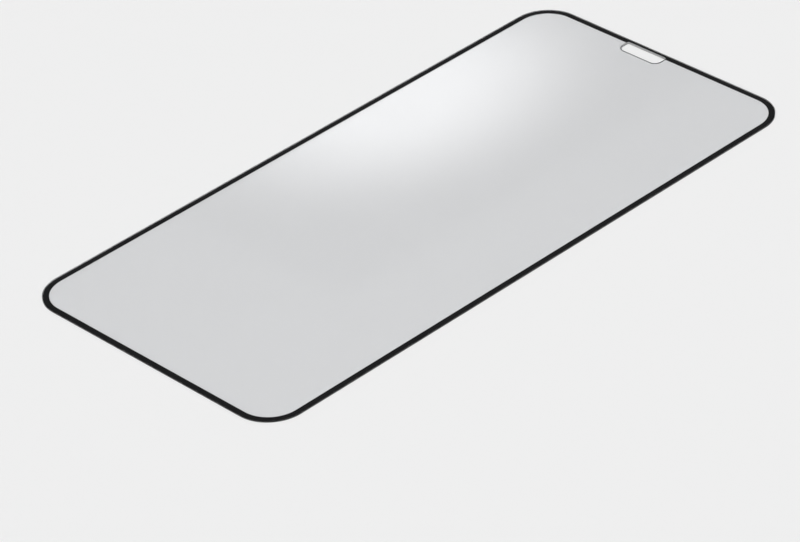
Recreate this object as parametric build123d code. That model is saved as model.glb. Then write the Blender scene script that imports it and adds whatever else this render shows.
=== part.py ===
from build123d import *
import os

# Tempered-glass screen protector: a clear sheet with a black band printed under its edge.
# The origin is the middle of the underside. +Z is up through the glass, and +Y runs along the
# sheet towards the speaker slot. All lengths are in millimetres and angles in degrees.

# Glass sheet
sheet_width = 67.3
sheet_length = 142.5
sheet_thickness = 0.5
corner_radius = 7.85

# Ground edge: a curved rim that leaves the upper face smoothly, an upright land and a small arris
rim_width = 2.0
rim_land_height = 0.38
underside_arris = 0.05

# Black band, let into the underside so that the glass alone touches what the sheet lies on
band_margin = 0.1
band_width = 1.25
band_thickness = 0.04
band_recess = 0.02

# Speaker slot, nearly square along the black band and rounder towards the display, with an
# arris on both faces
slot_length = 10.35
slot_depth = 3.15
slot_offset = -4.0
slot_bridge = 1.05
slot_band_radius = 0.4
slot_display_radius = 1.5
slot_arris = 0.1
slot_arris_angle = 45

# Most of a wall that a rounding may take up
fullest_rounding = 0.95

# How far a cutting tool reaches past the surface that it cuts
tool_overrun = 1.0

up = Vector(0, 0, 1)


def outline(inset):
    """The sheet's outline, moved inwards by inset."""
    return RectangleRounded(
        sheet_width - 2 * inset,
        sheet_length - 2 * inset,
        corner_radius - inset,
    )


def slot_profile():
    """The slot's outline in plan."""
    slot_centre_y = sheet_length / 2 - slot_bridge - slot_depth / 2
    profile = Pos(slot_offset, slot_centre_y) * Rectangle(slot_length, slot_depth)
    profile = fillet(profile.vertices().group_by(Axis.Y)[-1], slot_band_radius)
    # The rounding towards the display ends where the slot's walls leave no more room
    room = min(slot_depth - slot_band_radius, slot_length / 2)
    display_radius = min(slot_display_radius, fullest_rounding * room)
    return fillet(profile.vertices().group_by(Axis.Y)[0], display_radius)


def band_profile():
    """The black band in plan: a ring inside the edge, before the slot cuts into it."""
    return outline(band_margin) - outline(band_margin + band_width)


def rim_tool():
    """What grinding takes off the upper edge: one section carried round the outline."""
    path = outline(0).wire()
    outwards = (path % 0).cross(up)
    section = Plane(origin=path @ 0, x_dir=outwards, z_dir=outwards.cross(up))
    # In the section, x runs outwards from the rim and y runs up from the underside
    face_end = (-rim_width, sheet_thickness)
    land_top = (0, rim_land_height)
    tool_top = sheet_thickness + tool_overrun
    rim_arc = TangentArc(face_end, land_top, tangent=(1, 0))
    tool_sides = Polyline(
        land_top,
        (tool_overrun, rim_land_height),
        (tool_overrun, tool_top),
        (-rim_width, tool_top),
        face_end,
    )
    return sweep(section * make_face([rim_arc, tool_sides]), path=path)


def slot_tool():
    """The cut through the sheet, with a flared mouth at each end that leaves an arris."""
    height = sheet_thickness + 2 * tool_overrun
    shaft = extrude(Pos(Z=-tool_overrun) * slot_profile(), height)
    mouth_bottom = Pos(Z=sheet_thickness - slot_arris)
    mouth = extrude(mouth_bottom * slot_profile(), 2 * slot_arris, taper=-slot_arris_angle)
    lower_mouth = mirror(mouth, about=Plane.XY.offset(sheet_thickness / 2))
    return shaft + mouth + lower_mouth


def make_glass_sheet():
    """The clear sheet, with its ground edge, the seat of the black band and the slot."""
    sheet = extrude(outline(0), sheet_thickness)
    sheet = chamfer(sheet.faces().sort_by(Axis.Z)[0].edges(), underside_arris)
    band_seat = extrude(band_profile(), band_recess + band_thickness)
    return sheet - rim_tool() - band_seat - slot_tool()


def make_black_border():
    """The printed band, seated against the glass above it and cut away at the slot."""
    band = extrude(Pos(Z=band_recess) * band_profile(), band_thickness)
    return band - slot_tool()


os.makedirs("parts", exist_ok=True)
export_step(make_glass_sheet(), "parts/glass_sheet.step")
export_step(make_black_border(), "parts/black_border.step")
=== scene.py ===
import math

import bmesh
import bpy
from mathutils import Matrix, Vector


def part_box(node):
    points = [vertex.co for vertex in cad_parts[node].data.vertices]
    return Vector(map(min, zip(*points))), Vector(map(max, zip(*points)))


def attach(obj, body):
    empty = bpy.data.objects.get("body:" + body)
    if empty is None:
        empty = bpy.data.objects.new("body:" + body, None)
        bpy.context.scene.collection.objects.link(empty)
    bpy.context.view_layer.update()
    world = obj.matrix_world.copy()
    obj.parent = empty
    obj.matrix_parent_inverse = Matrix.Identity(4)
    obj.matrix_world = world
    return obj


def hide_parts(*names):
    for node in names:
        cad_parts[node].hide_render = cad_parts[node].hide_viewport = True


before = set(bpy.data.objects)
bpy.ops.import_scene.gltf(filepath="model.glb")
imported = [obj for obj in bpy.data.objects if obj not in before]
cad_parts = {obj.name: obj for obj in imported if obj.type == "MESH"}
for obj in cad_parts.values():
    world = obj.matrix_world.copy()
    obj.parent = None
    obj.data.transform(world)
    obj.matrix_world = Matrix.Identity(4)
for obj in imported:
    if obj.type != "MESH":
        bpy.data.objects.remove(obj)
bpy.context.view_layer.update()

# Looks of the tempered-glass screen protector: smooth meshes for the glass and its printed band,
# their materials, and a pale studio. Lengths are in metres, in the part's own frame.

MM = 0.001

# Sizes that the frame gives
SHEET_LOW, SHEET_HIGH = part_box("glass_sheet")
BAND_LOW, BAND_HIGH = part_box("black_border")
THICKNESS = SHEET_HIGH.z
BAND_MARGIN = BAND_LOW.x - SHEET_LOW.x

# Edge of the glass, and a narrow ring of the flat face that keeps the rim's shading off the rest
CORNER_RADIUS = 7.85 * MM
RIM_WIDTH = 2.0 * MM
RIM_LAND = 0.38 * MM
UNDERSIDE_ARRIS = 0.05 * MM
FLAT_SUPPORT = 0.04 * MM

# Printed band, which bites a hair into the glass
BAND_WIDTH = 1.25 * MM
BAND_BITE = 0.004 * MM

# Speaker slot
SLOT_LENGTH = 10.35 * MM
SLOT_DEPTH = 3.15 * MM
SLOT_OFFSET = -4.0 * MM
SLOT_BRIDGE = 1.05 * MM
SLOT_BAND_RADIUS = 0.4 * MM
SLOT_DISPLAY_RADIUS = 1.5 * MM
SLOT_ARRIS = 0.1 * MM

# Fineness of the meshes, the most sides that a face keeps after a cut, and the angle between two
# faces below which they look like one smooth surface
CORNER_STEPS = 28
SLOT_STEPS = 14
RIM_STEPS = 10
MOST_SIDES = 4
SMOOTH_BELOW = math.radians(20)

# Order of the materials on the glass
CLEAR, MATT_WALL, LOWER_ARRIS_PAINTED_SHADE = range(3)

# Where most values of a noise texture lie, and how deep its bumps are
NOISE_LOW = 0.3
NOISE_HIGH = 0.7
BUMP_DEPTH = 0.01 * MM

# Clear glass: its cool grey, the light that it lets through to the floor, and its faint mottle
GLASS_TINT = (0.925, 0.93, 0.937, 1)
GLASS_SHADE = (0.962, 0.964, 0.968, 1)
GLASS_IOR = 1.5
MOTTLE_SCALE = 90
MOTTLE_DETAIL = 4
MOTTLE_ROUGHNESS = (0.02, 0.05)

# Ground glass: how dark and how light its red gets on the slot's walls and lower arris, how much
# stronger green and blue are than red, and its fine lines. The lower arris is kept near black as
# painted shade, a dark line along the slot's display side; ground glass itself is lighter
WALL_TONES = (0.21, 0.33)
ARRIS_PAINTED_SHADE_TONES = (0.02, 0.04)
GREENISH = 1.02
LINE_STRETCH = (400, 400, 30000)
LINE_SCALE = 1
LINE_DETAIL = 3
LINE_ROUGHNESS = (0.5, 0.7)
LINE_BUMP = 0.3

# Ink of the printed band, and its grain
INK_DARK = (0.003, 0.003, 0.0035, 1)
INK_LIGHT = (0.009, 0.009, 0.0095, 1)
INK_SPECULAR = 0.15
GRAIN_SCALE = 12000
GRAIN_DETAIL = 2
GRAIN_ROUGHNESS = (0.42, 0.58)
GRAIN_BUMP = 0.15

# Camera
CAMERA_AIM = Vector((14.39, -19.17, 0)) * MM
CAMERA_DISTANCE = 782.7 * MM
CAMERA_AZIMUTH = math.radians(47.35)
CAMERA_ELEVATION = math.radians(33.49)
CAMERA_ROLL = math.radians(-4.03)
CAMERA_LENS = 186.9
CAMERA_NEAREST = 10 * MM
SENSOR_WIDTH = 36

# Floor, sky and key lamp
PALE = (0.863, 0.863, 0.863, 1)
FLOOR_GAP = 0.05 * MM
FLOOR_HALF = 6.0
SKY_DARK = (0.10, 0.10, 0.10, 1)
HORIZON_TOP = math.radians(6)
SKY_BOTTOM = math.radians(14)
KEY_STRENGTH = 3.70
KEY_ANGLE = math.radians(50)
KEY_AZIMUTH = math.radians(30)
KEY_ELEVATION = math.radians(48)

# Soft cards that show only as reflections: one for this view, one overhead, and a ring for the
# other sides
CARD_HEIGHT = 300 * MM
CARD_CORE = 0.9
CARD_CENTRE = Vector((-396 * MM, 364 * MM, CARD_HEIGHT))
CARD_HALF = Vector((74, 99)) * MM
CARD_STRENGTH = 1.85
TOP_CENTRE = Vector((-60 * MM, 70 * MM, CARD_HEIGHT))
TOP_HALF = Vector((70, 110)) * MM
TOP_STRENGTH = 1.9
RING_PLACES = 8
RING_RADIUS = 750 * MM
RING_HALF = Vector((80, 550)) * MM
RING_STRENGTH = 1.0


def rounded_loop(low, high, low_radius, high_radius, z, steps):
    """Points round a rectangle whose corners at low y and at high y have their own radius."""
    corners = (
        (high.x - low_radius, low.y + low_radius, low_radius, -90),
        (high.x - high_radius, high.y - high_radius, high_radius, 0),
        (low.x + high_radius, high.y - high_radius, high_radius, 90),
        (low.x + low_radius, low.y + low_radius, low_radius, 180),
    )
    points = []
    for x, y, radius, start in corners:
        for step in range(steps + 1):
            angle = math.radians(start + 90 * step / steps)
            points.append((x + radius * math.cos(angle), y + radius * math.sin(angle), z))
    return points


def sheet_loop(inset, z):
    """The sheet's outline, moved inwards by inset, at height z."""
    shift = Vector((inset, inset, 0))
    radius = CORNER_RADIUS - inset
    return rounded_loop(SHEET_LOW + shift, SHEET_HIGH - shift, radius, radius, z, CORNER_STEPS)


def slot_loop(growth, z):
    """The slot's outline, moved outwards by growth, at height z."""
    high_y = SHEET_HIGH.y - SLOT_BRIDGE
    low = Vector((SLOT_OFFSET - SLOT_LENGTH / 2 - growth, high_y - SLOT_DEPTH - growth, 0))
    high = Vector((SLOT_OFFSET + SLOT_LENGTH / 2 + growth, high_y + growth, 0))
    display_radius = SLOT_DISPLAY_RADIUS + growth
    band_radius = SLOT_BAND_RADIUS + growth
    return rounded_loop(low, high, display_radius, band_radius, z, SLOT_STEPS)


def mesh_from_loops(name, loops, ring, finishes=()):
    """A closed mesh through the loops in turn. A ring joins the last loop to the first, and
    otherwise both ends are capped. Finishes, if any, gives each row of faces its material."""
    bm = bmesh.new()
    rows = [[bm.verts.new(point) for point in loop] for loop in loops]
    pairs = list(zip(rows, rows[1:]))
    if ring:
        pairs.append((rows[-1], rows[0]))
    else:
        bm.faces.new(rows[0])
        bm.faces.new(rows[-1])
    for row, (first, second) in enumerate(pairs):
        count = len(first)
        for i in range(count):
            j = (i + 1) % count
            face = bm.faces.new((first[i], first[j], second[j], second[i]))
            face.material_index = finishes[row] if finishes else CLEAR
    bmesh.ops.recalc_face_normals(bm, faces=bm.faces)
    mesh = bpy.data.meshes.new(name)
    bm.to_mesh(mesh)
    bm.free()
    piece = bpy.data.objects.new(name, mesh)
    bpy.context.scene.collection.objects.link(piece)
    return piece


def cut(piece, cutter):
    """Takes the cutter's volume out of the piece, and deletes the cutter."""
    modifier = piece.modifiers.new("cut", "BOOLEAN")
    modifier.operation = "DIFFERENCE"
    modifier.solver = "EXACT"
    modifier.object = cutter
    graph = bpy.context.evaluated_depsgraph_get()
    mesh = bpy.data.meshes.new_from_object(piece.evaluated_get(graph))
    piece.modifiers.clear()
    piece.data = mesh
    bpy.data.objects.remove(cutter)
    divide(mesh)


def divide(mesh):
    """Divides the faces that a cut leaves with many sides into well-shaped triangles."""
    bm = bmesh.new()
    bm.from_mesh(mesh)
    many_sided = [face for face in bm.faces if len(face.verts) > MOST_SIDES]
    bmesh.ops.triangulate(bm, faces=many_sided, ngon_method="BEAUTY")
    bm.to_mesh(mesh)
    bm.free()


def shade(piece):
    """Smooth shading, with hard edges where two faces meet at more than a slight angle."""
    mesh = piece.data
    mesh.polygons.foreach_set("use_smooth", [True] * len(mesh.polygons))
    mesh.set_sharp_from_angle(angle=SMOOTH_BELOW)


def slot_cutter(finishes=()):
    """The slot's prism, with a mouth at each end that flares at 45 degrees to leave an arris, and
    that runs past the sheet's face."""
    loops = [
        slot_loop(2 * SLOT_ARRIS, -SLOT_ARRIS),
        slot_loop(0, SLOT_ARRIS),
        slot_loop(0, THICKNESS - SLOT_ARRIS),
        slot_loop(2 * SLOT_ARRIS, THICKNESS + SLOT_ARRIS),
    ]
    return mesh_from_loops("slot_cutter", loops, ring=False, finishes=finishes)


def rim_loops():
    """The curved rim, from the top of the upright land to the flat upper face."""
    drop = THICKNESS - RIM_LAND
    radius = (RIM_WIDTH**2 + drop**2) / (2 * drop)
    sweep = math.asin(RIM_WIDTH / radius)
    loops = []
    for step in range(RIM_STEPS + 1):
        tilt = sweep * (1 - step / RIM_STEPS)
        inset = RIM_WIDTH - radius * math.sin(tilt)
        loops.append(sheet_loop(inset, THICKNESS - radius * (1 - math.cos(tilt))))
    return loops


def make_glass():
    """The clear sheet: underside with the band's seat, ground edge, curved rim and flat top."""
    band_inset = BAND_MARGIN + BAND_WIDTH
    underside = [
        sheet_loop(band_inset, 0),
        sheet_loop(band_inset, BAND_HIGH.z),
        sheet_loop(BAND_MARGIN, BAND_HIGH.z),
        sheet_loop(BAND_MARGIN, 0),
    ]
    edge = [sheet_loop(UNDERSIDE_ARRIS, 0), sheet_loop(0, UNDERSIDE_ARRIS)]
    top = [*rim_loops(), sheet_loop(RIM_WIDTH + FLAT_SUPPORT, THICKNESS)]
    piece = mesh_from_loops("glass", underside + edge + top, ring=False)
    piece.data.materials.append(glass_material())
    piece.data.materials.append(ground_material("ground_wall", WALL_TONES))
    # The lower arris gets painted shade: its near-black tones darken it far past ground glass
    piece.data.materials.append(ground_material("ground_arris_painted_shade", ARRIS_PAINTED_SHADE_TONES))
    cut(piece, slot_cutter((LOWER_ARRIS_PAINTED_SHADE, MATT_WALL, MATT_WALL)))
    shade(piece)
    return piece


def make_band():
    """The printed band, which bites a hair into the glass so that no air shows between them."""
    inner = BAND_MARGIN + BAND_WIDTH
    top = BAND_HIGH.z + BAND_BITE
    loops = [
        sheet_loop(BAND_MARGIN, BAND_LOW.z),
        sheet_loop(BAND_MARGIN, top),
        sheet_loop(inner, top),
        sheet_loop(inner, BAND_LOW.z),
    ]
    piece = mesh_from_loops("printed_band", loops, ring=True)
    piece.data.materials.append(print_material())
    cut(piece, slot_cutter())
    shade(piece)
    return piece


def new_material(name):
    """An empty node material, with its tree and its output."""
    material = bpy.data.materials.new(name)
    material.use_nodes = True
    tree = material.node_tree
    tree.nodes.clear()
    output = tree.nodes.new("ShaderNodeOutputMaterial")
    return material, tree, output


def add_noise(tree, place, scale, detail):
    """A noise texture over the coordinates that place gives."""
    texture = tree.nodes.new("ShaderNodeTexNoise")
    texture.inputs["Scale"].default_value = scale
    texture.inputs["Detail"].default_value = detail
    tree.links.new(place, texture.inputs["Vector"])
    return texture


def spread(tree, texture, low, high):
    """The texture's values, spread from low to high."""
    run = tree.nodes.new("ShaderNodeMapRange")
    run.inputs["From Min"].default_value = NOISE_LOW
    run.inputs["From Max"].default_value = NOISE_HIGH
    run.inputs["To Min"].default_value = low
    run.inputs["To Max"].default_value = high
    tree.links.new(texture.outputs["Fac"], run.inputs["Value"])
    return run.outputs["Result"]


def mix_tones(tree, texture, dark, light):
    """A colour that goes from dark to light with the texture's values."""
    tone = tree.nodes.new("ShaderNodeMix")
    tone.data_type = "RGBA"
    tone.inputs["A"].default_value = dark
    tone.inputs["B"].default_value = light
    tree.links.new(texture.outputs["Fac"], tone.inputs["Factor"])
    return tone.outputs["Result"]


def add_bump(tree, texture, strength):
    """A normal that follows the texture's values as fine bumps."""
    bump = tree.nodes.new("ShaderNodeBump")
    bump.inputs["Strength"].default_value = strength
    bump.inputs["Distance"].default_value = BUMP_DEPTH
    tree.links.new(texture.outputs["Fac"], bump.inputs["Height"])
    return bump.outputs["Normal"]


def glass_material():
    """Clear glass with a slight cool grey and the faint mottle of a wipe-clean coating. It lets
    lamps and soft light through to the floor."""
    material, tree, output = new_material("clear_glass")
    nodes = tree.nodes
    links = tree.links
    glass = nodes.new("ShaderNodeBsdfPrincipled")
    glass.inputs["Base Color"].default_value = GLASS_TINT
    glass.inputs["IOR"].default_value = GLASS_IOR
    glass.inputs["Transmission Weight"].default_value = 1.0
    place = nodes.new("ShaderNodeTexCoord")
    mottle = add_noise(tree, place.outputs["Object"], MOTTLE_SCALE, MOTTLE_DETAIL)
    links.new(spread(tree, mottle, *MOTTLE_ROUGHNESS), glass.inputs["Roughness"])
    clear = nodes.new("ShaderNodeBsdfTransparent")
    clear.inputs["Color"].default_value = GLASS_SHADE
    path = nodes.new("ShaderNodeLightPath")
    lit_through = nodes.new("ShaderNodeMath")
    lit_through.operation = "MAXIMUM"
    links.new(path.outputs["Is Shadow Ray"], lit_through.inputs[0])
    links.new(path.outputs["Is Diffuse Ray"], lit_through.inputs[1])
    mix = nodes.new("ShaderNodeMixShader")
    links.new(lit_through.outputs[0], mix.inputs[0])
    links.new(glass.outputs[0], mix.inputs[1])
    links.new(clear.outputs[0], mix.inputs[2])
    links.new(mix.outputs[0], output.inputs["Surface"])
    return material


def ground_material(name, tones):
    """Glass left matt by the wheel, with fine lines that run along it."""
    material, tree, output = new_material(name)
    nodes = tree.nodes
    links = tree.links
    edge = nodes.new("ShaderNodeBsdfPrincipled")
    place = nodes.new("ShaderNodeTexCoord")
    stretch = nodes.new("ShaderNodeMapping")
    stretch.inputs["Scale"].default_value = LINE_STRETCH
    links.new(place.outputs["Object"], stretch.inputs["Vector"])
    lines = add_noise(tree, stretch.outputs["Vector"], LINE_SCALE, LINE_DETAIL)
    dark, light = [(tone, tone * GREENISH, tone * GREENISH, 1) for tone in tones]
    links.new(spread(tree, lines, *LINE_ROUGHNESS), edge.inputs["Roughness"])
    links.new(mix_tones(tree, lines, dark, light), edge.inputs["Base Color"])
    links.new(add_bump(tree, lines, LINE_BUMP), edge.inputs["Normal"])
    links.new(edge.outputs[0], output.inputs["Surface"])
    return material


def print_material():
    """Satin black ink with the fine grain of a screen print."""
    material, tree, output = new_material("black_print")
    nodes = tree.nodes
    links = tree.links
    ink = nodes.new("ShaderNodeBsdfPrincipled")
    ink.inputs["Specular IOR Level"].default_value = INK_SPECULAR
    place = nodes.new("ShaderNodeTexCoord")
    grain = add_noise(tree, place.outputs["Object"], GRAIN_SCALE, GRAIN_DETAIL)
    links.new(spread(tree, grain, *GRAIN_ROUGHNESS), ink.inputs["Roughness"])
    links.new(mix_tones(tree, grain, INK_DARK, INK_LIGHT), ink.inputs["Base Color"])
    links.new(add_bump(tree, grain, GRAIN_BUMP), ink.inputs["Normal"])
    links.new(ink.outputs[0], output.inputs["Surface"])
    return material


def floor_material():
    """Plain pale floor."""
    material, tree, output = new_material("pale_floor")
    paint = tree.nodes.new("ShaderNodeBsdfDiffuse")
    paint.inputs["Color"].default_value = PALE
    tree.links.new(paint.outputs[0], output.inputs["Surface"])
    return material


def card_material(strength):
    """A light card with an even middle, which fades to nothing at its rim."""
    material, tree, output = new_material("light_card")
    nodes = tree.nodes
    links = tree.links
    place = nodes.new("ShaderNodeTexCoord")
    fade = nodes.new("ShaderNodeTexGradient")
    fade.gradient_type = "SPHERICAL"
    links.new(place.outputs["Object"], fade.inputs["Vector"])
    soften = nodes.new("ShaderNodeMapRange")
    soften.interpolation_type = "SMOOTHERSTEP"
    soften.inputs["From Max"].default_value = CARD_CORE
    soften.inputs["To Max"].default_value = strength
    links.new(fade.outputs["Fac"], soften.inputs["Value"])
    light = nodes.new("ShaderNodeEmission")
    links.new(soften.outputs["Result"], light.inputs["Strength"])
    links.new(light.outputs[0], output.inputs["Surface"])
    return material


def plane(name, half_x, half_y, material):
    """A flat rectangle about its own origin."""
    mesh = bpy.data.meshes.new(name)
    corners = [(-half_x, -half_y, 0), (half_x, -half_y, 0), (half_x, half_y, 0), (-half_x, half_y, 0)]
    mesh.from_pydata(corners, [], [(0, 1, 2, 3)])
    mesh.materials.append(material)
    piece = bpy.data.objects.new(name, mesh)
    bpy.context.scene.collection.objects.link(piece)
    return piece


def from_angles(azimuth, elevation):
    """The direction from the part towards a point at that azimuth and elevation."""
    level = math.cos(elevation)
    return Vector((math.sin(azimuth) * level, -math.cos(azimuth) * level, math.sin(elevation)))


def add_part():
    """The two pieces of the protector, in place of the plain solids."""
    for piece, node, slot in (
        (make_glass(), "glass_sheet", "clear_glass"),
        (make_band(), "black_border", "black_print"),
    ):
        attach(piece, "root")
        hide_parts(node)


def add_camera():
    """The camera, aimed at a point on the underside's plane."""
    data = bpy.data.cameras.new("camera")
    data.sensor_width = SENSOR_WIDTH
    data.lens = CAMERA_LENS
    data.clip_start = CAMERA_NEAREST
    camera = bpy.data.objects.new("camera", data)
    bpy.context.scene.collection.objects.link(camera)
    back = from_angles(CAMERA_AZIMUTH, CAMERA_ELEVATION)
    turn = back.to_track_quat("Z", "Y").to_matrix().to_4x4()
    roll = Matrix.Rotation(CAMERA_ROLL, 4, "Z")
    camera.matrix_world = Matrix.Translation(CAMERA_AIM + back * CAMERA_DISTANCE) @ turn @ roll
    bpy.context.scene.camera = camera


def add_floor():
    """The floor, a hair below the part so that the two never flicker."""
    floor = plane("floor", FLOOR_HALF, FLOOR_HALF, floor_material())
    floor.location.z = -FLOOR_GAP


def add_card(name, centre, half, turn, strength):
    """A level light card that only mirrored and refracted rays see."""
    card = plane(name, 1, 1, card_material(strength))
    card.location = centre
    card.scale = (half.x, half.y, 1)
    card.rotation_euler.z = turn
    card.visible_camera = False
    card.visible_diffuse = False
    card.visible_shadow = False


def add_cards():
    """The card for this view, one overhead, and a ring that leaves this view's side free."""
    add_card("light_card", CARD_CENTRE, CARD_HALF, 0, CARD_STRENGTH)
    add_card("top_card", TOP_CENTRE, TOP_HALF, 0, TOP_STRENGTH)
    opposite = CAMERA_AZIMUTH + math.pi
    for place in range(1, RING_PLACES):
        azimuth = opposite + place * 2 * math.pi / RING_PLACES
        centre = from_angles(azimuth, 0) * RING_RADIUS
        centre.z = CARD_HEIGHT
        add_card(f"ring_card_{place}", centre, RING_HALF, azimuth, RING_STRENGTH)


def add_key():
    """The soft key lamp, which lights matt surfaces and leaves reflections to the cards."""
    data = bpy.data.lights.new("key", "SUN")
    data.energy = KEY_STRENGTH
    data.angle = KEY_ANGLE
    key = bpy.data.objects.new("key", data)
    bpy.context.scene.collection.objects.link(key)
    key.rotation_mode = "QUATERNION"
    key.rotation_quaternion = from_angles(KEY_AZIMUTH, KEY_ELEVATION).to_track_quat("Z", "Y")
    key.visible_glossy = False
    key.visible_transmission = False


def add_sky():
    """A dim sky over a pale horizon."""
    world = bpy.data.worlds.new("studio")
    bpy.context.scene.world = world
    world.use_nodes = True
    nodes = world.node_tree.nodes
    links = world.node_tree.links
    place = nodes.new("ShaderNodeTexCoord")
    height = nodes.new("ShaderNodeSeparateXYZ")
    links.new(place.outputs["Generated"], height.inputs["Vector"])
    rise = nodes.new("ShaderNodeMapRange")
    rise.interpolation_type = "SMOOTHSTEP"
    rise.inputs["From Min"].default_value = math.sin(HORIZON_TOP)
    rise.inputs["From Max"].default_value = math.sin(SKY_BOTTOM)
    links.new(height.outputs["Z"], rise.inputs["Value"])
    sky = nodes.new("ShaderNodeMix")
    sky.data_type = "RGBA"
    sky.inputs["A"].default_value = PALE
    sky.inputs["B"].default_value = SKY_DARK
    links.new(rise.outputs["Result"], sky.inputs["Factor"])
    links.new(sky.outputs["Result"], nodes["Background"].inputs["Color"])


add_part()
add_camera()
add_floor()
add_cards()
add_key()
add_sky()
bpy.context.scene.view_settings.view_transform = "Standard"
